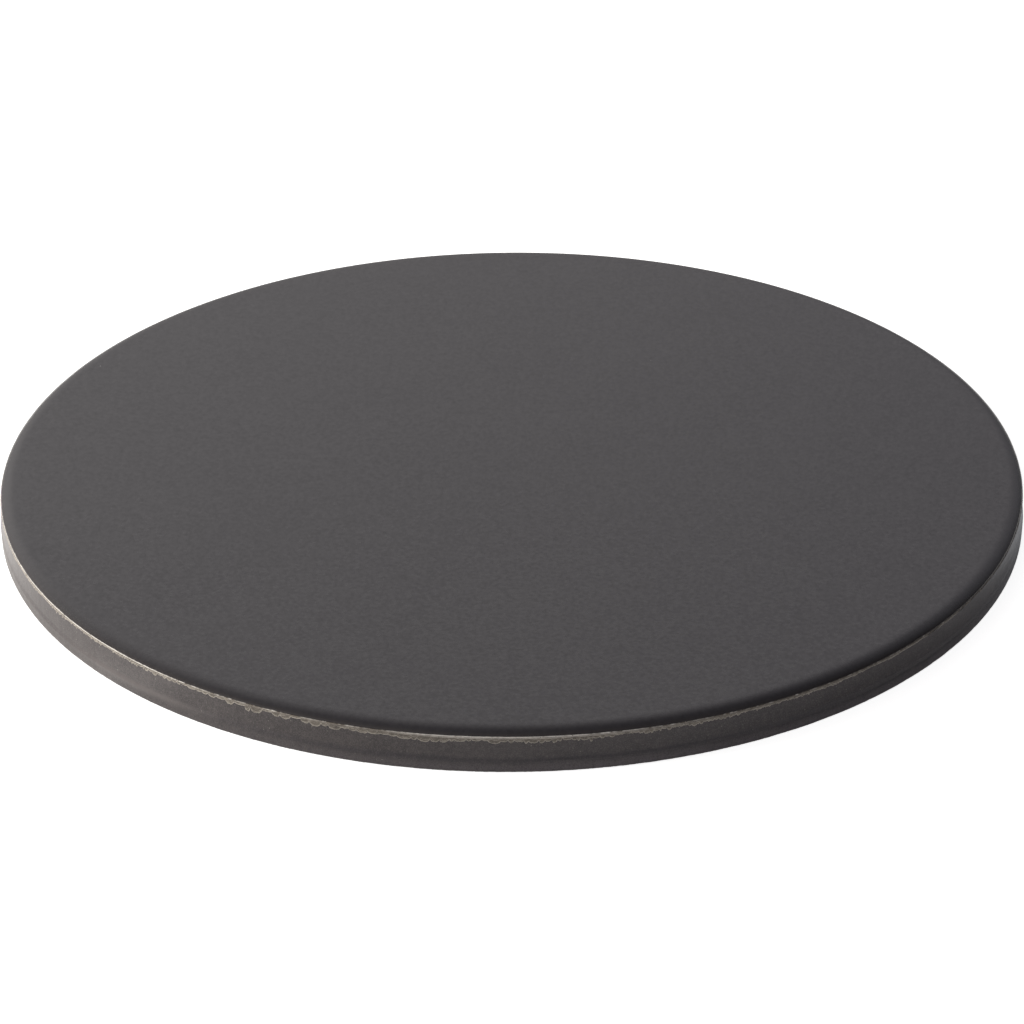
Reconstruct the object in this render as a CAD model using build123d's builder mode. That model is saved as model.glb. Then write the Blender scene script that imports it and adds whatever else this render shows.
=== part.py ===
from build123d import *
from math import asin, cos, sin
import os

# Pizza stone: a dry-pressed ceramic slab with fired-on coats. Millimetres, +Z up,
# with the origin at the centre of the base that it rests on.

# Overall size
rim_diameter = 360.0  # across the arris, the crisp edge where the top meets the wall
stone_height = 14.5  # from the base to the glazed top

# Pressed body
roll_width = 6.0  # the flat top starts to roll off this far inside the arris
roll_drop = 1.3  # fall of the body from its flat top to the arris
belt_height = 4.5  # the press dies part here, and the wall is widest
belt_swell = 0.6  # the belt stands out this far past the arris
base_draft = 0.1  # the wall draws in this far from the belt down to the base
base_round = 0.5
arris_round = 0.15

# Charcoal glaze on the top
top_glaze_thickness = 0.6
glaze_lip_thickness = 0.25  # it thins towards the arris and ends in a soft lip
bare_arris_width = 0.35  # body left bare between that lip and the rounding of the arris
lip_round_share = 0.6  # of the lip's thickness

# Coats on the wall
wall_coat_thickness = 0.25
bare_arris_depth = 0.2  # body left bare below the rounding of the arris
run_depth = 1.1  # how far thin runs of glaze hang down the wall from there
bare_foot_height = 0.3  # wall left bare above the rounding of the base

rim_radius = rim_diameter / 2
body_height = stone_height - top_glaze_thickness
arris_height = body_height - roll_drop
roll_start = rim_radius - roll_width
roll_radius = (roll_width**2 + roll_drop**2) / (2 * roll_drop)
belt_radius = rim_radius + belt_swell
base_radius = belt_radius - base_draft
lip_radius = rim_radius - arris_round - bare_arris_width
runs_top = arris_height - arris_round - bare_arris_depth
runs_bottom = runs_top - run_depth
wash_bottom = base_round + bare_foot_height


def wall_radius(height):
    """Radius of the bare wall at a height: straight drafts run from the belt to base and arris."""
    if height < belt_height:
        return belt_radius - base_draft * (1 - height / belt_height)
    return belt_radius - belt_swell * (height - belt_height) / (arris_height - belt_height)


def coat_outline(heights):
    """Corners of a coat of even thickness that covers the wall between the given heights."""
    inner = [(wall_radius(height), height) for height in heights]
    outer = [(radius + wall_coat_thickness, height) for radius, height in reversed(inner)]
    return inner + outer


# Body: buff cordierite, flat below, with a soft roll-off to the arris
with BuildPart() as stone_body:
    with BuildSketch(Plane.XZ):
        with BuildLine():
            Polyline(
                (roll_start, body_height),
                (0, body_height),
                (0, 0),
                (base_radius, 0),
                (belt_radius, belt_height),
                (rim_radius, arris_height),
            )
            TangentArc((roll_start, body_height), (rim_radius, arris_height), tangent=(1, 0))
        make_face()
    revolve(axis=Axis.Z)
    fillet(stone_body.edges().sort_by_distance((-base_radius, 0, 0))[0], base_round)
    fillet(stone_body.edges().sort_by_distance((-rim_radius, 0, arris_height))[0], arris_round)

# Top glaze: lies on the flat and the roll-off, and stops short of the arris
lip_angle = asin((lip_radius - roll_start) / roll_radius)
lip_foot = (lip_radius, body_height - roll_radius * (1 - cos(lip_angle)))
lip_crest = (
    lip_foot[0] + glaze_lip_thickness * sin(lip_angle),
    lip_foot[1] + glaze_lip_thickness * cos(lip_angle),
)
with BuildPart() as top_glaze:
    with BuildSketch(Plane.XZ):
        with BuildLine():
            Polyline(
                (roll_start, body_height),
                (0, body_height),
                (0, stone_height),
                (roll_start, stone_height),
            )
            TangentArc((roll_start, body_height), lip_foot, tangent=(1, 0))
            TangentArc((roll_start, stone_height), lip_crest, tangent=(1, 0))
            Line(lip_foot, lip_crest)
        make_face()
    revolve(axis=Axis.Z)
    crest_ring = top_glaze.edges().sort_by_distance((-lip_crest[0], 0, lip_crest[1]))[0]
    fillet(crest_ring, lip_round_share * glaze_lip_thickness)

# Rim runs: a thin film of glaze that ran over the arris and dried on the wall below it
with BuildPart() as rim_runs:
    with BuildSketch(Plane.XZ):
        with BuildLine():
            Polyline(*coat_outline([runs_bottom, runs_top]), close=True)
        make_face()
    revolve(axis=Axis.Z)

# Wall wash: a darker brushed coat from the runs down past the belt, short of the base
with BuildPart() as wall_wash:
    with BuildSketch(Plane.XZ):
        with BuildLine():
            Polyline(*coat_outline([wash_bottom, belt_height, runs_bottom]), close=True)
        make_face()
    revolve(axis=Axis.Z)

stone_body.part.label = "stone_body"
top_glaze.part.label = "top_glaze"
rim_runs.part.label = "rim_runs"
wall_wash.part.label = "wall_wash"

os.makedirs("parts", exist_ok=True)
export_step(stone_body.part, "parts/stone_body.step")
export_step(top_glaze.part, "parts/top_glaze.step")
export_step(rim_runs.part, "parts/rim_runs.step")
export_step(wall_wash.part, "parts/wall_wash.step")
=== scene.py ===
import bpy
import numpy as np
from mathutils import Matrix, Vector


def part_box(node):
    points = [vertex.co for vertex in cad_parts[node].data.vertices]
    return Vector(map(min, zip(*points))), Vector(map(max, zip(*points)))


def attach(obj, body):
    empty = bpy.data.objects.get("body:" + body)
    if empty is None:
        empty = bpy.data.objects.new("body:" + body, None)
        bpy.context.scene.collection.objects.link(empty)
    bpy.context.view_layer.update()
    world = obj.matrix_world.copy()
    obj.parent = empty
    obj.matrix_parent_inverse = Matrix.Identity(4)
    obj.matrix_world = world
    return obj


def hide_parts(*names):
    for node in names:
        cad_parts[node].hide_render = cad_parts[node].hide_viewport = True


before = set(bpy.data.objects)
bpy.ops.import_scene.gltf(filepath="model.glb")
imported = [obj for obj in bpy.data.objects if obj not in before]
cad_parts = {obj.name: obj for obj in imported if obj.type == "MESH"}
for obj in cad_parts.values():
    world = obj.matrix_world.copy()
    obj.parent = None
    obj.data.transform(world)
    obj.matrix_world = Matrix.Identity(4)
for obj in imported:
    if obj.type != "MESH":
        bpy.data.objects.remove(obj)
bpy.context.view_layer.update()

# Pressed body
# The slab itself: buff cordierite clay with grit and iron specks, dry-pressed in a two-part die
# and fired once. It is flat below, steps out at a soft shoulder where the die parts, and rolls
# off at the top to a crisp arris, which stays bare and has lost a few crumbs.
mm = 0.001
body_high = np.array(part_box("stone_body")[1]) / mm
shoulder_radius = body_high[0]
body_height = body_high[2]
roll_width = 6.0
roll_drop = 1.3
arris_inset = 0.6
arris_radius = shoulder_radius - arris_inset
arris_height = body_height - roll_drop
roll_start = arris_radius - roll_width
roll_radius = (roll_width**2 + roll_drop**2) / (2 * roll_drop)
shoulder_height = 3.5
shoulder_rise = 1.9
shoulder_step = 0.4
base_draft = 0.05
base_round = 0.25
sharp_bend = 50
rim_length = 2 * np.pi * arris_radius


def round_the_rim(turns):
    """Angles of even steps round the rim, anticlockwise from +X."""
    return 2 * np.pi * np.arange(turns) / turns


def along_rim(turns, places, values):
    """Value at every step round the rim, on straight lines between the values given at places in degrees."""
    return np.interp(np.degrees(round_the_rim(turns)), places, values, period=360)


def rim_waves(seed, turns, shortest, longest):
    """Uneven line round the rim with a spread of 1: every whole wave whose length in millimetres lies
    between the two given has a random phase and a height that follows the root of its length, and an
    inverse Fourier transform adds them up, so the line closes on itself."""
    counts = np.arange(turns // 2 + 1)
    lengths = rim_length / np.maximum(counts, 1)
    heights = np.sqrt(lengths) * ((lengths >= shortest) & (lengths <= longest) & (counts > 0))
    phases = np.random.default_rng(seed).uniform(0, 2 * np.pi, counts.size)
    line = np.fft.irfft(heights * np.exp(1j * phases), turns)
    return line / line.std()


def soft_step(value):
    """Eases from 0 to 1 as the value goes from 0 to 1: three squares less two cubes."""
    value = np.clip(value, 0, 1)
    return value * value * (3 - 2 * value)


def wall_radius(height):
    """Radius of the bare wall: a straight lean from the arris down to the shoulder, a soft step out over
    the shoulder, a slight straight draw-in below it, and a quarter round at the base."""
    shoulder_top = shoulder_height + shoulder_rise
    lean = shoulder_radius - arris_radius - shoulder_step
    radius = arris_radius + lean * np.clip((arris_height - height) / (arris_height - shoulder_top), 0, 1)
    radius = radius + shoulder_step * soft_step((shoulder_top - height) / shoulder_rise)
    radius = radius - base_draft * np.clip(1 - height / shoulder_height, 0, 1)
    under = np.clip(base_round - height, 0, base_round)
    return radius - base_round + np.sqrt(base_round**2 - under**2)


def roll_height(radius):
    """Height of the bare top: flat, then an arc of the roll radius that falls away to the arris."""
    inward = np.clip(radius - roll_start, 0, None)
    return body_height - roll_radius + np.sqrt(roll_radius**2 - inward**2)


def turned_mesh(name, rows, turns, ring=False):
    """Mesh turned round the axis. Each row is a radius and a height in millimetres, each one number or one
    value for every step of the turn. The rows run from the underside, out, up the wall and in over
    the top, so that the faces look outwards. A solid closes on a centre point at each end, and a ring
    joins its last row to its first."""
    angle = round_the_rim(turns)
    radius = np.stack([np.broadcast_to(row[0], turns) for row in rows], axis=1)
    height = np.stack([np.broadcast_to(row[1], turns) for row in rows], axis=1)
    corners = (radius * np.cos(angle)[:, None], radius * np.sin(angle)[:, None], height)
    points = np.stack(corners, axis=2).reshape(-1, 3)
    count = len(rows)
    here = np.arange(turns)[:, None] * count
    beyond = (np.arange(turns)[:, None] + 1) % turns * count
    row = np.arange(count if ring else count - 1)[None, :]
    following = (row + 1) % count
    quads = np.stack((here + row, beyond + row, beyond + following, here + following), axis=2)
    faces = quads.reshape(-1, 4).tolist()
    if not ring:
        centres = [(0, 0, height[:, 0].mean()), (0, 0, height[:, -1].mean())]
        points = np.concatenate((points, centres))
        bottom, top = turns * count, turns * count + 1
        steps = list(zip(here[:, 0].tolist(), beyond[:, 0].tolist()))
        last = count - 1
        faces += [(bottom, second, first) for first, second in steps]
        faces += [(top, first + last, second + last) for first, second in steps]
    mesh = bpy.data.meshes.new(name)
    mesh.from_pydata((points * mm).tolist(), [], faces)
    mesh.shade_smooth()
    mesh.set_sharp_from_angle(angle=np.radians(sharp_bend))
    piece = bpy.data.objects.new(name, mesh)
    bpy.context.scene.collection.objects.link(piece)
    return piece


def mark(piece, name, values):
    """Keeps a value for each point of a piece, for its finish to read."""
    layer = piece.data.attributes.new(name, "FLOAT", "POINT")
    layer.data.foreach_set("value", values)


def put(tree, kind, inputs, **settings):
    """Adds a shader node. An input given as a socket is linked, and any other value is set."""
    node = tree.nodes.new("ShaderNode" + kind)
    for name, value in settings.items():
        setattr(node, name, value)
    for key, value in inputs.items():
        if isinstance(value, bpy.types.NodeSocket):
            tree.links.new(value, node.inputs[key])
        else:
            node.inputs[key].default_value = value
    return node


def place_in_mm(tree):
    """Place on the stone in millimetres, from the object's own coordinates."""
    place = put(tree, "TexCoord", {}).outputs["Object"]
    return put(tree, "VectorMath", {0: place, "Scale": 1 / mm}, operation="SCALE").outputs[0]


def marked(tree, name):
    """Value that mark kept under a name."""
    return put(tree, "Attribute", {}, attribute_name=name).outputs["Fac"]


def mottle(tree, place, size, detail, stretch=(1, 1, 1)):
    """Cloudy pattern around 0.5 with blotches of the size given in millimetres, drawn out by the stretch."""
    squeeze = tuple(1 / value for value in stretch)
    place = put(tree, "VectorMath", {0: place, 1: squeeze}, operation="MULTIPLY").outputs[0]
    return put(tree, "TexNoise", {"Vector": place, "Scale": 1 / size, "Detail": detail}).outputs["Fac"]


def fade(tree, value, start, end, first=0.0, last=1.0):
    """Goes from the first number to the last as the value goes from start to end."""
    inputs = {"Value": value, "From Min": start, "From Max": end, "To Min": first, "To Max": last}
    return put(tree, "MapRange", inputs).outputs["Result"]


def calculate(tree, operation, first, second=0.0, third=0.0):
    """One sum of up to three numbers."""
    return put(tree, "Math", {0: first, 1: second, 2: third}, operation=operation).outputs[0]


def tint(tree, amount, first, second):
    """Goes from the first colour to the second by the amount. The node's colour sockets are 6 and 7."""
    colours = [value if isinstance(value, bpy.types.NodeSocket) else (*value, 1) for value in (first, second)]
    inputs = {0: amount, 6: colours[0], 7: colours[1]}
    return put(tree, "Mix", inputs, data_type="RGBA").outputs[2]


def specks(tree, place, spacing, size, share):
    """Scattered round specks: cells of the spacing in millimetres, of which a share hold a speck up to
    the size at their centre."""
    cells = put(tree, "TexVoronoi", {"Vector": place, "Scale": 1 / spacing})
    core, rim = 0.35 * size / spacing, 0.5 * size / spacing
    dot = fade(tree, cells.outputs["Distance"], core, rim, first=1.0, last=0.0)
    chance = put(tree, "SeparateColor", {0: cells.outputs["Color"]}).outputs[0]
    return calculate(tree, "MULTIPLY", dot, calculate(tree, "LESS_THAN", chance, share))


def new_finish(name):
    """Empty finish with its shader."""
    finish = bpy.data.materials.new(name)
    finish.use_nodes = True
    return finish, finish.node_tree, finish.node_tree.nodes["Principled BSDF"]


def lay_finish(tree, shader, colour, roughness, pattern, depth):
    """Gives a finish its colour, its roughness and a pattern that stands up to the depth in millimetres."""
    relief = put(tree, "Bump", {"Height": pattern, "Distance": depth * mm}).outputs["Normal"]
    tree.links.new(colour, shader.inputs["Base Color"])
    tree.links.new(roughness, shader.inputs["Roughness"])
    tree.links.new(relief, shader.inputs["Normal"])


def wear(piece, finish):
    """Gives a piece its finish."""
    piece.data.materials.append(finish)


body_turns = 3600
crumb_line = 2.1
crumb_depth = 0.35
crumbs = crumb_depth * np.clip(rim_waves(3, body_turns, shortest=0.9, longest=7) - crumb_line, 0, None)
arris_ease = 0.15
ease_waver = 0.03
ease_limits = (0.07, 0.6)
ease = arris_ease + ease_waver * rim_waves(4, body_turns, shortest=1.5, longest=40) + crumbs
ease = np.clip(ease, *ease_limits)


def arris_row(share):
    """Row of the eased arris: a quadratic curve that leaves the wall an ease below the sharp corner, heads
    for the corner and ends on the roll-off an ease inside it."""
    weights = ((1 - share)**2, 2 * share * (1 - share), share**2)
    radii = (wall_radius(arris_height - ease), arris_radius, arris_radius - ease)
    heights = (arris_height - ease, arris_height, roll_height(arris_radius - ease))
    radius = sum(weight * value for weight, value in zip(weights, radii))
    height = sum(weight * value for weight, value in zip(weights, heights))
    return radius, height


base_radii = (45, 90, 135, 165, shoulder_radius - base_draft - base_round)
round_heights = base_round * (1 - np.cos(np.radians([25, 45, 62, 76, 90])))
wall_heights = (*round_heights, 0.9, shoulder_height, 5.0, 5.9, 9.0, 11.6)
arris_shares = (0.0, 0.25, 0.5, 0.75, 1.0)
top_radii = (179.3, 178.0, 176.0, roll_start, 120.0, 60.0)
body_rows = [(radius, 0.0) for radius in base_radii]
body_rows += [(wall_radius(height), height) for height in wall_heights]
body_rows += [arris_row(share) for share in arris_shares]
body_rows += [(radius, roll_height(radius)) for radius in top_radii]
pressed_body = turned_mesh("pressed_body", body_rows, body_turns)

# How bare the coats left the arris: a place round the rim in degrees and a share.
bare_stretches = ((-180, 0.9), (-160, 0.9), (-150, 0.9), (-143, 0.9), (-136, 1.0), (-130, 0.8), (-120, 0.3),
                  (-103, 0.25), (-98, 0.9), (-93, 1.0), (-84, 0.9), (-78, 0.45), (-70, 0.18), (-30, 0.0),
                  (60, 0.4), (100, 0.7), (140, 0.5))
bare_waver = 0.18
bareness = along_rim(body_turns, *zip(*bare_stretches))
bareness = np.clip(bareness + bare_waver * rim_waves(5, body_turns, shortest=1.5, longest=20), 0, 1)
centre_bareness = (0, 0)
mark(pressed_body, "bareness", np.append(np.repeat(bareness, len(body_rows)), centre_bareness))

buff_dark = (0.56, 0.45, 0.31)
buff_light = (0.62, 0.52, 0.38)
grit_brown = (0.42, 0.33, 0.22)
iron_brown = (0.12, 0.07, 0.04)
foot_shade_grey = (0.20, 0.17, 0.14)
cream_clean = (0.96, 0.93, 0.88)
cream_dull = (0.80, 0.76, 0.70)
stain_pale = (0.40, 0.35, 0.29)
stain_and_shade_dark = (0.048, 0.042, 0.037)
edge_shade_dark = (0.09, 0.075, 0.06)
speck_grey = (0.16, 0.13, 0.10)
fired_clay, tree, shader = new_finish("fired_clay")
place = place_in_mm(tree)
height = put(tree, "SeparateXYZ", {0: place}).outputs[2]
blotches = mottle(tree, place, size=14.0, detail=4.0)
grit = mottle(tree, place, size=0.45, detail=3.0)
grain = mottle(tree, place, size=0.35, detail=4.0)
buff = tint(tree, fade(tree, blotches, 0.35, 0.65), buff_dark, buff_light)
buff = tint(tree, fade(tree, grit, 0.4, 0.75, last=0.35), buff, grit_brown)
buff = tint(tree, specks(tree, place, spacing=2.2, size=0.55, share=0.3), buff, iron_brown)
# Painted shade: the clay is darkened to grey over its lowest millimetre, along the base edge.
foot_start = fade(tree, height, 0.0, 0.06)
foot_end = fade(tree, height, 0.6, 1.0, first=1.0, last=0.0)
foot_shade = calculate(tree, "MULTIPLY", foot_start, foot_end)
buff = tint(tree, foot_shade, buff, foot_shade_grey)
# The bare arris fired cream. Where glaze crept over it, it is stained, and the stain is painted darker
# towards the top as shade under the glaze lip.
cream = tint(tree, fade(tree, grit, 0.35, 0.7), cream_clean, cream_dull)
bare = calculate(tree, "ADD", marked(tree, "bareness"), fade(tree, grit, 0.3, 0.7, first=-0.2, last=0.2))
close_up = fade(tree, height, arris_height - 0.35, arris_height - 0.1)
stained = tint(tree, close_up, stain_pale, stain_and_shade_dark)
cream = tint(tree, fade(tree, bare, 0.1, 0.9), stained, cream)
# Painted shade: a darker line along the very top of the arris, under the glaze lip.
very_edge = fade(tree, height, arris_height - 0.1, arris_height - 0.02, last=0.4)
cream = tint(tree, very_edge, cream, edge_shade_dark)
cream = tint(tree, specks(tree, place, spacing=1.0, size=0.4, share=0.4), cream, speck_grey)
near_arris = fade(tree, height, arris_height - 1.5, arris_height - 1.0)
clay_colour = tint(tree, near_arris, buff, cream)
dry_clay = fade(tree, grit, 0.3, 0.7, first=0.72, last=0.9)
lay_finish(tree, shader, clay_colour, dry_clay, grain, depth=0.12)
shader.inputs["Specular IOR Level"].default_value = 0.3
wear(pressed_body, fired_clay)
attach(pressed_body, "root")
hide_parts("stone_body")

# Top glaze
# The baking face: a satin charcoal glaze, sprayed on and fired to one smooth skin over the clay.
# It flows over the roll-off, thins on the way and stops in a soft dark lip just inside the arris.
glaze_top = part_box("top_glaze")[1][2] / mm
glaze_bed = 0.05
lip_thickness = 0.25
lip_gap = 0.03
lip_tuck = 0.08
lip_waver = 0.03
lip_limits = (-0.08, 0.02)
roll_power = 3.4
glaze_turns = 2880
lip_line = np.clip(lip_waver * rim_waves(11, glaze_turns, shortest=2.5, longest=60), *lip_limits)
lip_radius = arris_radius - lip_gap + lip_line


def glaze_surface(inward):
    """Row of the glaze at a distance in from its lip: it falls away from the flat by the roll power of
    the share of the roll-off covered, and its last stretch draws down to the bare top in a quarter round."""
    radius = lip_radius - inward
    fall = glaze_top - roll_height(lip_radius) - lip_thickness
    crest = glaze_top - fall * np.clip((radius - roll_start) / (lip_radius - roll_start), 0, 1)**roll_power
    bare_top = roll_height(radius)
    return radius, bare_top + (crest - bare_top) * np.sqrt(1 - (1 - min(inward / lip_thickness, 1))**2)


under_roll = (roll_start, 176.0, 178.0, lip_radius - lip_tuck)
lip_distances = (0.0, 0.01, 0.03, 0.07, 0.13, 0.2, 0.27, 0.4, 0.7, 1.1, 1.6, 2.2, 2.8, 3.4, 4.0, 4.6,
                 5.2, 5.8)
glaze_rows = [(radius, body_height - glaze_bed) for radius in (60, 120, 165)]
glaze_rows += [(radius, roll_height(radius) - glaze_bed) for radius in under_roll]
glaze_rows += [glaze_surface(inward) for inward in lip_distances]
glaze_rows += [(radius, glaze_top) for radius in (172.0, 150.0, 110.0, 70.0, 30.0)]
top_glaze = turned_mesh("top_glaze_skin", glaze_rows, glaze_turns)

charcoal_dark = (0.0195, 0.0176, 0.0211)
charcoal_light = (0.0230, 0.0211, 0.0245)
freckle_pale = (0.043, 0.041, 0.045)
freckle_dark = (0.008, 0.007, 0.0085)
lip_brown = (0.030, 0.022, 0.018)
pinhole_black = (0.006, 0.006, 0.006)
ash_grey = (0.2, 0.19, 0.18)
charcoal_glaze, tree, shader = new_finish("charcoal_glaze")
place = place_in_mm(tree)
clouds = mottle(tree, place, size=30.0, detail=4.0)
freckles = mottle(tree, place, size=1.4, detail=1.5)
level_place = put(tree, "VectorMath", {0: place, 1: (1, 1, 0)}, operation="MULTIPLY").outputs[0]
from_centre = put(tree, "VectorMath", {0: level_place}, operation="LENGTH").outputs["Value"]
charcoal = tint(tree, fade(tree, clouds, 0.3, 0.7), charcoal_dark, charcoal_light)
# The glaze drew smooth as it ran over the roll-off, so the freckles fade there.
smooth_from = arris_radius - 2.0
pale_share = fade(tree, from_centre, roll_start, smooth_from, first=0.65, last=0.2)
charcoal = tint(tree, fade(tree, freckles, 0.42, 0.75, last=pale_share), charcoal, freckle_pale)
dark_share = fade(tree, from_centre, roll_start, smooth_from, first=0.75, last=0.2)
charcoal = tint(tree, fade(tree, freckles, 0.45, 0.2, last=dark_share), charcoal, freckle_dark)
thin_lip = fade(tree, from_centre, arris_radius - 1.1, arris_radius - 0.15, last=0.35)
charcoal = tint(tree, thin_lip, charcoal, lip_brown)
charcoal = tint(tree, specks(tree, place, spacing=11.0, size=0.5, share=0.16), charcoal, pinhole_black)
charcoal = tint(tree, specks(tree, place, spacing=13.0, size=0.55, share=0.14), charcoal, ash_grey)
sheen = mottle(tree, place, size=2.0, detail=3.0)
satin = fade(tree, sheen, 0.3, 0.7, first=0.21, last=0.26)
fine_ripple = mottle(tree, place, size=0.35, detail=2.0)
skin = calculate(tree, "MULTIPLY_ADD", fine_ripple, 0.25, mottle(tree, place, size=1.6, detail=2.0))
lay_finish(tree, shader, charcoal, satin, skin, depth=0.004)
wear(top_glaze, charcoal_glaze)
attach(top_glaze, "root")
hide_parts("top_glaze")

# Side wash
# A thin coat of the same glaze, sponged down the wall. It dries patchy and half matt, with pale
# grit showing through, covers the shoulder and ends unevenly just above the base.
coats_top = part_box("rim_runs")[1][2] / mm
wash_margin = 0.08
wash_top = coats_top - wash_margin
wash_turns = 3000
wash_thickness = 0.18
wash_limit = 0.24
wash_bed = 0.06
wash_sag = 0.012
foot_round = 0.35
thinning_start = 8.0
thinning = 0.45
# Height of the coat's lower end: a place round the rim in degrees and a height.
foot_line = ((-180, 0.06), (-150, 0.06), (-135, 0.08), (-125, 0.1), (-112, 0.12), (-105, 0.1), (-92, 0.08),
             (-60, 0.08), (0, 0.08), (60, 0.25), (120, 0.15))
foot_waver = 0.05
foot_limits = (0.03, 0.5)
wash_foot = along_rim(wash_turns, *zip(*foot_line))
wash_foot = wash_foot + foot_waver * rim_waves(21, wash_turns, shortest=1.2, longest=30)
wash_foot = np.clip(wash_foot, *foot_limits)
sag = wash_sag * rim_waves(22, wash_turns, shortest=3, longest=60)


def wash_surface(height):
    """Row of the coat at a height: the bare wall plus a thickness that rounds off over the lowest part,
    thins towards the arris and follows the sag of the coat."""
    lower_end = np.sqrt(1 - (1 - np.clip((height - wash_foot) / foot_round, 0, 1))**2)
    upper_end = 1 - thinning * soft_step((height - thinning_start) / (wash_top - thinning_start))
    thickness = (wash_thickness + sag) * lower_end * upper_end
    return wall_radius(height) + np.minimum(thickness, wash_limit), height


foot_rises = (0.0, 0.02, 0.06, 0.14, 0.3)
wash_heights = (1.3, 2.4, 3.1, 3.3, 3.5, 3.7, 3.9, 4.1, 4.3, 4.5, 4.7, 4.9, 5.1, 5.3, 5.5, 6.0, 7.4, 9.0,
                10.6, wash_top)
bedded_heights = (wash_top, 6.0, wash_foot + 0.05)
wash_rows = [wash_surface(wash_foot + rise) for rise in foot_rises]
wash_rows += [wash_surface(height) for height in wash_heights]
wash_rows += [(wall_radius(height) - wash_bed, height) for height in bedded_heights]
side_wash = turned_mesh("side_wash", wash_rows, wash_turns, ring=True)

taupe_dark = (0.070, 0.0615, 0.0625)
taupe_light = (0.088, 0.0775, 0.0778)
shade_slate_blue = (0.052, 0.048, 0.062)
# Painted floor light on the lower wall.
floor_bounce_mauve = (0.195, 0.176, 0.190)
blot_pale = (0.126, 0.112, 0.113)
blot_dark = (0.046, 0.041, 0.044)
run_grey = (0.057, 0.053, 0.057)
grain_pale = (0.19, 0.172, 0.170)
grain_dark = (0.040, 0.036, 0.038)
grit_cream = (0.3, 0.28, 0.26)
# Pooled glaze and painted shade over the shoulder.
pool_and_shade_black = (0.030, 0.027, 0.036)
# Colour of the painted highlight along the shoulder.
painted_highlight_taupe = (0.160, 0.143, 0.140)
pool_and_shade_height = 4.9
painted_highlight_height = 4.0
dark_wash, tree, shader = new_finish("dark_wash")
place = place_in_mm(tree)
rightward, _, height = put(tree, "SeparateXYZ", {0: place}).outputs
patches = mottle(tree, place, size=9.0, detail=3.0)
blots = mottle(tree, place, size=1.5, detail=4.0)
grains = mottle(tree, place, size=0.35, detail=2.0)
trickles = mottle(tree, place, size=1.6, detail=2.0, stretch=(1, 1, 8))
taupe = tint(tree, fade(tree, patches, 0.35, 0.65), taupe_dark, taupe_light)
# Painted shade: the wall turns darker and bluer towards the right, away from the lamp.
taupe = tint(tree, fade(tree, rightward, -60.0, 90.0, last=0.35), taupe, shade_slate_blue)
# The lower wall is painted paler, more so to the right: painted light standing in for the white floor's
# bounce.
floor_bounce = fade(tree, calculate(tree, "MULTIPLY_ADD", patches, 1.6, height), 4.6, 2.4, last=0.9)
bounce_side = fade(tree, rightward, -120.0, 30.0)
taupe = tint(tree, calculate(tree, "MULTIPLY", floor_bounce, bounce_side), taupe, floor_bounce_mauve)
taupe = tint(tree, fade(tree, blots, 0.47, 0.7, last=0.6), taupe, blot_pale)
taupe = tint(tree, fade(tree, blots, 0.45, 0.25, last=0.5), taupe, blot_dark)
taupe = tint(tree, fade(tree, trickles, 0.5, 0.75, last=0.3), taupe, run_grey)
taupe = tint(tree, fade(tree, grains, 0.5, 0.8, last=0.9), taupe, grain_pale)
taupe = tint(tree, fade(tree, grains, 0.48, 0.2, last=0.8), taupe, grain_dark)
grit_share = fade(tree, height, 6.0, 11.5, first=0.12, last=0.5)
taupe = tint(tree, specks(tree, place, spacing=1.7, size=0.42, share=grit_share), taupe, grit_cream)
# It is painted darker in a band over the shoulder: partly glaze that pooled in the hollow there, and partly
# painted shade, kept to the front and right, away from the lamp. A pale band along it at the front left is a
# painted highlight.
pool_and_shade_line = calculate(tree, "MULTIPLY_ADD", patches, 1.2, height)
pool_and_shade_gap = calculate(tree, "ABSOLUTE", calculate(tree, "ADD", pool_and_shade_line, -pool_and_shade_height))
pool_and_shade = fade(tree, pool_and_shade_gap, 0.3, 1.5, first=0.5, last=0.0)
shaded_side = fade(tree, rightward, -145.0, -50.0)
taupe = tint(tree, calculate(tree, "MULTIPLY", pool_and_shade, shaded_side), taupe, pool_and_shade_black)
# Painted highlight: a pale band along the shoulder at the front left, where it faces the lamp.
painted_highlight_gap = calculate(tree, "ABSOLUTE", calculate(tree, "ADD", height, -painted_highlight_height))
painted_highlight_start = fade(tree, rightward, -150.0, -132.0)
painted_highlight_end = fade(tree, rightward, -112.0, -92.0, first=1.0, last=0.0)
painted_highlight_stretch = calculate(tree, "MULTIPLY", painted_highlight_start, painted_highlight_end)
painted_highlight = fade(tree, painted_highlight_gap, 0.4, 1.9, first=0.7, last=0.0)
taupe = tint(tree, calculate(tree, "MULTIPLY", painted_highlight, painted_highlight_stretch), taupe, painted_highlight_taupe)
half_matt = fade(tree, blots, 0.3, 0.7, first=0.28, last=0.36)
coat = calculate(tree, "MULTIPLY_ADD", grains, 0.6, blots)
lay_finish(tree, shader, taupe, half_matt, coat, depth=0.05)
wear(side_wash, dark_wash)
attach(side_wash, "root")
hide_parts("wall_wash")

# Glaze runs
# Thin glaze that ran over the arris while wet and dried on the wall in small hanging lobes.
# Each lobe ends in a paler bead, where the melt gathered, and older tide lines show inside.
film_margin = 0.05
film_top = coats_top - film_margin
film_turns = 5600
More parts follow.
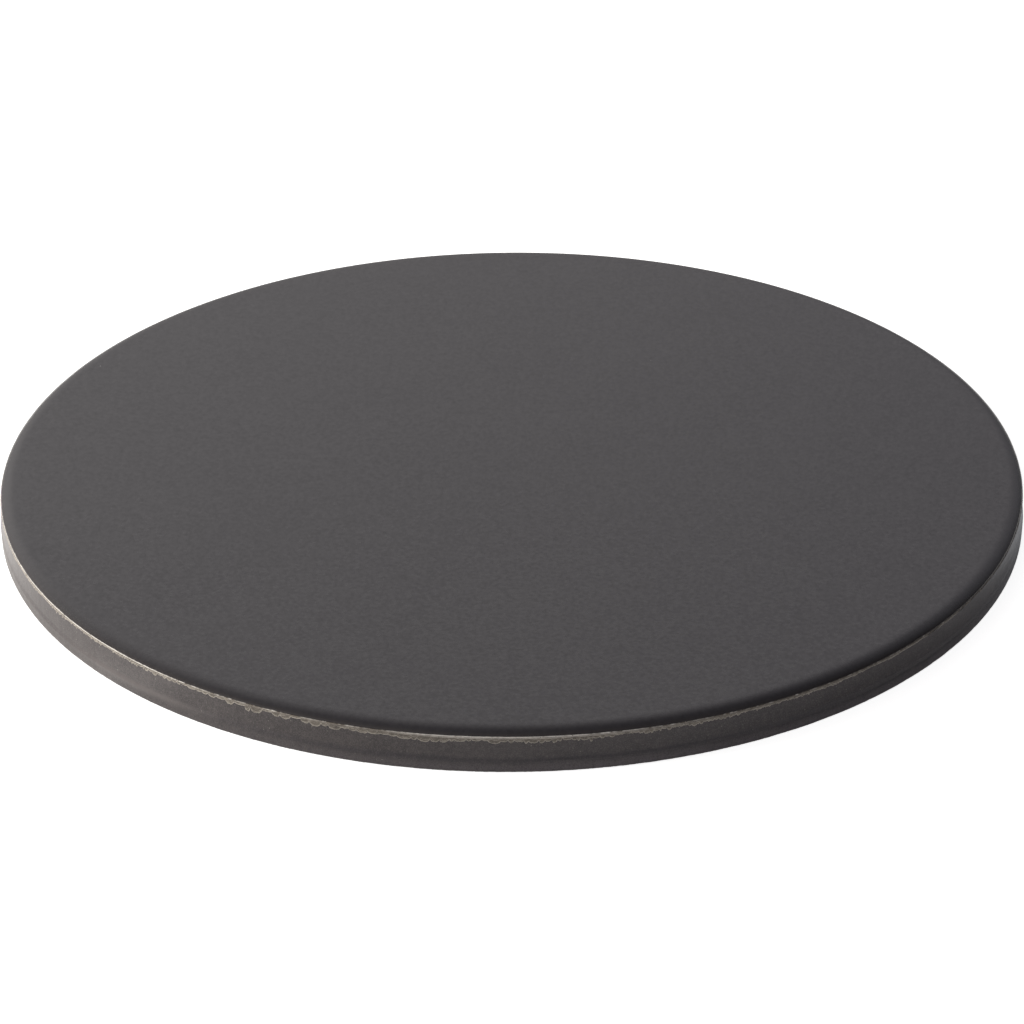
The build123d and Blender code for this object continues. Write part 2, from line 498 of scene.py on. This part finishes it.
# A place round the rim in degrees, then how far the film hangs there, the width of its lobes, the
# share of the hang that the necks between them reach, and how pale it dried.
hang_table = ((-180, 0.4, 0.9, 0.4, 0.8), (-160, 0.9, 0.9, 0.3, 0.7), (-150, 1.3, 0.8, 0.1, 0.55),
              (-135, 1.3, 0.9, 0.08, 0.6), (-127, 1.6, 2.2, 0.08, 0.5), (-120, 2.0, 3.2, 0.12, 0.45),
              (-110, 2.2, 3.4, 0.2, 0.45), (-102, 2.2, 3.2, 0.5, 0.45), (-93, 2.3, 2.6, 0.35, 0.35),
              (-80, 2.0, 1.6, 0.35, 0.5), (-65, 1.3, 1.1, 0.35, 0.7), (-50, 0.8, 1.1, 0.4, 0.5),
              (-30, 0.35, 1.2, 0.5, 0.0), (0, 0.25, 1.2, 0.5, 0.0), (40, 0.6, 1.6, 0.5, 0.3),
              (90, 1.2, 2.6, 0.4, 0.3), (140, 0.8, 1.8, 0.4, 0.5))
hang_waver = 0.15
hang_places, *hang_values = zip(*hang_table)
hang, lobe_width, neck, paleness = (along_rim(film_turns, hang_places, values) for values in hang_values)
hang = hang * (1 + hang_waver * rim_waves(31, film_turns, shortest=8, longest=50))
parting_shift = 0.35
arch_powers = (1.5, 3.5)
lobe_reaches = (0.25, 1.0)
steps_near = 12


def lobes(seed):
    """Hanging lobes round the rim, from 0 at a neck to 1 at the lowest point of the longest. A count runs
    round the rim at one per lobe width, its whole numbers shifted at random part the lobes, and
    across each the depth is its own reach times a rounded arch, the root of one less the offset
    from its middle to a random power."""
    random = np.random.default_rng(seed)
    count = np.cumsum(1 / lobe_width)
    lobe_total = int(count[-1] * rim_length / film_turns)
    count = count * lobe_total / count[-1]
    shift = np.append(random.uniform(-parting_shift, parting_shift, lobe_total), 0)
    parting = np.arange(lobe_total + 1) + shift
    parting[0] = 0
    lobe = np.clip(np.searchsorted(parting, count, side="right") - 1, 0, lobe_total - 1)
    offset = 2 * (count - parting[lobe]) / (parting[lobe + 1] - parting[lobe]) - 1
    power = random.uniform(*arch_powers, lobe_total)[lobe]
    reach = random.uniform(*lobe_reaches, lobe_total)[lobe]
    return reach * np.sqrt(np.clip(1 - np.abs(offset)**power, 0, None))


def gap_to_line(height, line):
    """Distance in millimetres from each point of a grid to a line round the rim, which is the least of the
    distances to the points of the line within a few steps either way."""
    step = rim_length / film_turns
    shifts = range(-steps_near, steps_near + 1)
    gaps = [np.hypot(shift * step, height - np.roll(line, -shift)[:, None]) for shift in shifts]
    return np.min(gaps, axis=0)


edge_waver = 0.05
hang_limits = (0.08, 3.2)
tide_share = 0.85
tide_limits = (0.05, 3.0)
lobe_depth = neck + (1 - neck) * lobes(32)
edge_hang = hang * lobe_depth + edge_waver * rim_waves(36, film_turns, shortest=0.6, longest=2)
film_edge = film_top - np.clip(edge_hang, *hang_limits)
tide_line = film_top - np.clip(hang * tide_share * lobes(34), *tide_limits)
film_shares = np.array((1.0, 0.97, 0.93, 0.86, 0.77, 0.66, 0.54, 0.42, 0.3, 0.18, 0.07, 0.0))
film_height = film_top - (film_top - film_edge)[:, None] * film_shares
edge_gap = gap_to_line(film_height, film_edge)
tide_gap = gap_to_line(film_height, tide_line)
top_gap = film_top - film_height

# The film is even, with a bead along its edge and a low ridge on the tide line. It feathers out at the top.
film_even = 0.098
film_limit = 0.245
bead_width = 0.12
bead_rise = 0.1
bead_fall = 0.045
bead_back = 0.25
tide_rise = 0.02
tide_width = 0.12
feather_start = 0.2
feather_width = 0.3
bead_slope = bead_fall * soft_step((edge_gap - bead_width) / bead_back)
bead = soft_step(edge_gap / bead_width) * (bead_rise - bead_slope)
tide = tide_rise * np.exp(-(tide_gap / tide_width)**2)
film_thickness = (film_even + bead + tide) * soft_step(feather_start + top_gap / feather_width)
film_radius = wall_radius(film_height) + np.minimum(film_thickness, film_limit)
film_bed = 0.05
bed_drop = 0.02
edge_tuck = 0.01
film_rows = list(zip(film_radius.T, film_height.T))
film_rows.append((wall_radius(film_top) - film_bed, film_top - bed_drop))
film_rows.append((wall_radius(film_edge), film_edge + edge_tuck))
glaze_runs = turned_mesh("glaze_runs", film_rows, film_turns, ring=True)

# Where the film wore off along the arris: a place round the rim in degrees and a share.
worn_stretches = ((-103, 0), (-97, 0.9), (-83, 0.9), (-77, 0.4), (-68, 0))
paleness_waver = 0.12
worn_waver = 0.2
paleness = np.clip(paleness + paleness_waver * rim_waves(35, film_turns, shortest=5, longest=40), 0, 1)
worn = along_rim(film_turns, *zip(*worn_stretches))
worn = np.clip(worn * (1 + worn_waver * rim_waves(37, film_turns, shortest=1.5, longest=12)), 0, 1)
film_marks = {"edge_gap": edge_gap, "tide_gap": tide_gap, "top_gap": top_gap,
              "paleness": np.repeat(paleness[:, None], film_shares.size, axis=1),
              "worn": np.repeat(worn[:, None], film_shares.size, axis=1)}
bedded_rows = np.zeros((film_turns, 2))
for name, values in film_marks.items():
    mark(glaze_runs, name, np.concatenate((values, bedded_rows), axis=1).ravel())

brown_dark = (0.084, 0.074, 0.062)
brown_light = (0.140, 0.125, 0.106)
thick_brown = (0.045, 0.041, 0.039)
beige_dark = (0.23, 0.204, 0.170)
beige_light = (0.32, 0.284, 0.238)
grain_beige = (0.34, 0.31, 0.27)
bead_cream = (0.62, 0.57, 0.50)
bare_cream = (0.86, 0.81, 0.74)
speck_brown = (0.05, 0.035, 0.025)
run_film, tree, shader = new_finish("run_film")
place = place_in_mm(tree)
film = {name: marked(tree, name) for name in film_marks}
stains = mottle(tree, place, size=1.1, detail=3.0)
grains = mottle(tree, place, size=0.42, detail=2.0)
stained = fade(tree, stains, 0.35, 0.65)
brown = tint(tree, stained, brown_dark, brown_light)
beige = tint(tree, stained, beige_dark, beige_light)
# Where the film didn't dry pale at all it is thick and dark, and shows no lines.
thin = fade(tree, film["paleness"], 0.05, 0.25)
brown = tint(tree, thin, thick_brown, brown)
ground = tint(tree, film["paleness"], brown, beige)
ground = tint(tree, fade(tree, grains, 0.48, 0.72, last=0.7), ground, grain_beige)
outline = fade(tree, film["edge_gap"], 0.2, 0.4, first=1.0, last=0.0)
tide_mark = fade(tree, film["tide_gap"], 0.06, 0.2, first=0.6, last=0.0)
upper = fade(tree, film["top_gap"], 0.0, 0.35, first=0.6, last=0.0)
lines = calculate(tree, "MAXIMUM", calculate(tree, "MAXIMUM", outline, tide_mark), upper)
lines = calculate(tree, "MULTIPLY", lines, fade(tree, stains, 0.3, 0.6, first=0.3, last=1.0))
lines = calculate(tree, "MULTIPLY", lines, thin)
ground = tint(tree, lines, ground, bead_cream)
bared = fade(tree, film["top_gap"], 0.1, 0.42, first=1.0, last=0.0)
bared = calculate(tree, "MULTIPLY", bared, film["worn"])
ground = tint(tree, bared, ground, bare_cream)
ground = tint(tree, specks(tree, place, spacing=2.6, size=0.4, share=0.35), ground, speck_brown)
dried = fade(tree, stains, 0.3, 0.7, first=0.4, last=0.55)
lay_finish(tree, shader, ground, dried, grains, depth=0.03)
wear(glaze_runs, run_film)
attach(glaze_runs, "root")
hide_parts("rim_runs")

# Floor
# A plain white sheet under the stone. It shows white and keeps the stone's shadow. In reflections it also
# glows, with painted tones along it that the wall mirrors most towards the two sides, a painted reflection,
# and it throws only a dim light back on the stone.
floor_half = 4.0
floor_height = -0.0001
corner_signs = ((-1, -1), (1, -1), (1, 1), (-1, 1))
floor_corners = [(x * floor_half, y * floor_half, floor_height) for x, y in corner_signs]
floor_mesh = bpy.data.meshes.new("floor")
floor_mesh.from_pydata(floor_corners, [], [(0, 1, 2, 3)])
floor = bpy.data.objects.new("floor", floor_mesh)
bpy.context.scene.collection.objects.link(floor)


def tone_ramp(tree, value, stops):
    """Tone that runs through the stops, each a place and a tone, as the value goes from 0 to 1."""
    ramp = put(tree, "ValToRGB", {0: value})
    elements = ramp.color_ramp.elements
    while len(elements) < len(stops):
        elements.new(0.5)
    for element, (position, tone) in zip(elements, stops):
        element.position = position
        element.color = (*tone, 1)
    return ramp.outputs["Color"]


# Painted reflection, the glow that the wall mirrors in the sheet: a place from left to right in millimetres,
# a tone and how warm it is.
mirror_half = 200
mirrored_tones = ((-190, 0.62, 0.03), (-183, 0.58, 0.03), (-178, 0.46, 0.03), (-173, 0.29, 0.03),
                  (-165, 0.25, 0.04), (-158, 0.26, 0.05), (-148, 0.35, 0.05), (-138, 0.68, 0.05),
                  (-129, 0.74, 0.04), (-122, 0.35, 0.03), (-118, 0.27, 0.03), (-110, 0.215, 0.03),
                  (-60, 0.05, 0.0), (0, 0.09, 0.0), (53, 0.08, 0.0), (85, 0.04, -0.02), (105, 0.015, -0.03),
                  (140, 0.0, -0.03), (155, 0.01, -0.03), (165, 0.03, -0.04), (172, 0.06, -0.05),
                  (176, 0.06, -0.05), (179, 0.22, -0.05), (182, 0.4, -0.04), (187, 0.44, -0.03),
                  (192, 0.12, -0.03), (200, 0.06, -0.03))
mirror_stops = [((spot + mirror_half) / (2 * mirror_half), (tone * (1 + warmth), tone, tone * (1 - warmth)))
                for spot, tone, warmth in mirrored_tones]
seen_glow = (0.82, 0.82, 0.82)
seen_white = (0.75, 0.75, 0.75, 1)
dim_grey = (0.32, 0.32, 0.33, 1)
white_sheet = bpy.data.materials.new("white_sheet")
white_sheet.use_nodes = True
tree = white_sheet.node_tree
tree.nodes.clear()
light_path = put(tree, "LightPath", {}).outputs
seen = calculate(tree, "MAXIMUM", light_path["Is Camera Ray"], light_path["Is Glossy Ray"])
seen = calculate(tree, "MAXIMUM", seen, light_path["Is Transmission Ray"])
along = put(tree, "SeparateXYZ", {0: put(tree, "TexCoord", {}).outputs["Object"]}).outputs[0]
mirrored = tone_ramp(tree, fade(tree, along, -mirror_half * mm, mirror_half * mm), mirror_stops)
glow_tone = tint(tree, light_path["Is Camera Ray"], mirrored, seen_glow)
glow = put(tree, "Emission", {"Color": glow_tone, "Strength": 1.0}).outputs[0]
white = put(tree, "BsdfDiffuse", {"Color": seen_white}).outputs[0]
shown = put(tree, "AddShader", {0: white, 1: glow}).outputs[0]
sheet = put(tree, "BsdfDiffuse", {"Color": dim_grey}).outputs[0]
surface = put(tree, "MixShader", {0: seen, 1: sheet, 2: shown}).outputs[0]
put(tree, "OutputMaterial", {"Surface": surface})
wear(floor, white_sheet)

# Light
# One large soft lamp high on the left, and a room that is bright behind and to the left and dark
# overhead. To the camera the room is white all round.
lamp_data = bpy.data.lights.new("soft_lamp", "AREA")
lamp_data.shape = "DISK"
lamp_data.size = 1.3
lamp_data.energy = 32.0
lamp_data.color = (1.0, 0.965, 0.91)
lamp = bpy.data.objects.new("soft_lamp", lamp_data)
lamp_place = Vector((-1.45, 0.12, 0.85))
lamp.matrix_world = Matrix.Translation(lamp_place) @ lamp_place.to_track_quat("Z", "Y").to_matrix().to_4x4()
lamp.visible_camera = False
lamp.visible_glossy = False
bpy.context.scene.collection.objects.link(lamp)

# The room's tone from the left, at 0, to the right, at 1.
room_tones = ((0.0, (2.27, 2.19, 2.09)), (0.15, (1.78, 1.71, 1.64)), (0.25, (1.38, 1.33, 1.295)),
              (0.35, (1.17, 1.13, 1.11)), (0.43, (0.87, 0.846, 0.845)), (0.5, (0.765, 0.74, 0.744)),
              (0.57, (0.645, 0.625, 0.648)), (0.65, (0.495, 0.485, 0.513)), (0.75, (0.49, 0.485, 0.52)),
              (0.87, (0.36, 0.36, 0.385)), (1.0, (0.08, 0.08, 0.09)))
# The share of it that shows from the front, at 0, to the back, at 1.
depth_shares = ((0.0, 0.55), (0.25, 0.55), (0.36, 0.34), (0.55, 0.275), (0.65, 0.4), (0.75, 0.68),
                (0.825, 0.77), (0.9, 1.0))
depth_stops = [(position, (share, share, share)) for position, share in depth_shares]
room_white = (1, 1, 1, 1)
room = bpy.data.worlds.new("room")
bpy.context.scene.world = room
room.use_nodes = True
tree = room.node_tree
tree.nodes.clear()
direction = put(tree, "TexCoord", {}).outputs["Generated"]
rightward, backward, upward = put(tree, "SeparateXYZ", {0: direction}).outputs
room_tone = tone_ramp(tree, fade(tree, rightward, -1.0, 1.0), room_tones)
depth_share = tone_ramp(tree, fade(tree, backward, -1.0, 1.0), depth_stops)
# It dims down to the floor line, except at the far left.
low_share = fade(tree, rightward, -0.95, -0.8, first=1.0, last=0.3)
height_share = fade(tree, upward, 0.0, 0.46, first=low_share, last=1.0)
strength = calculate(tree, "MULTIPLY", depth_share, height_share)
dim_room = put(tree, "Background", {"Color": room_tone, "Strength": strength}).outputs[0]
white_room = put(tree, "Background", {"Color": room_white, "Strength": 1.0}).outputs[0]
light_path = put(tree, "LightPath", {}).outputs
seen = calculate(tree, "MAXIMUM", light_path["Is Camera Ray"], light_path["Is Transmission Ray"])
background = put(tree, "MixShader", {0: seen, 1: dim_room, 2: white_room}).outputs[0]
put(tree, "OutputWorld", {"Surface": background})

# Camera
# Stands in front of the stone and looks down on it, close enough for it to fill the picture's width.
# It leans over slightly, and its distance and the spot it looks at are in radii of the arris.
camera_reach = 6.5
camera_spot = (0.0005, -0.0751, 0)
camera_rise = np.radians(28.475)
camera_lean = np.radians(-0.408)
camera_distance = camera_reach * arris_radius * mm
camera_place = Vector((0, -camera_distance * np.cos(camera_rise), camera_distance * np.sin(camera_rise)))
look_at = Vector(camera_spot) * arris_radius * mm
forward = (look_at - camera_place).normalized()
right = forward.cross(Vector((0, 0, 1))).normalized()
up = right.cross(forward)
leaned_right = np.cos(camera_lean) * right + np.sin(camera_lean) * up
leaned_up = np.cos(camera_lean) * up - np.sin(camera_lean) * right
camera_data = bpy.data.cameras.new("camera")
camera_data.sensor_width = 36.0
camera_data.lens = 115.06
camera_data.clip_start = 0.01
camera = bpy.data.objects.new("camera", camera_data)
turn = Matrix((leaned_right, leaned_up, -forward)).transposed()
camera.matrix_world = Matrix.Translation(camera_place) @ turn.to_4x4()
bpy.context.scene.collection.objects.link(camera)
bpy.context.scene.camera = camera
bpy.context.scene.view_settings.view_transform = "Standard"
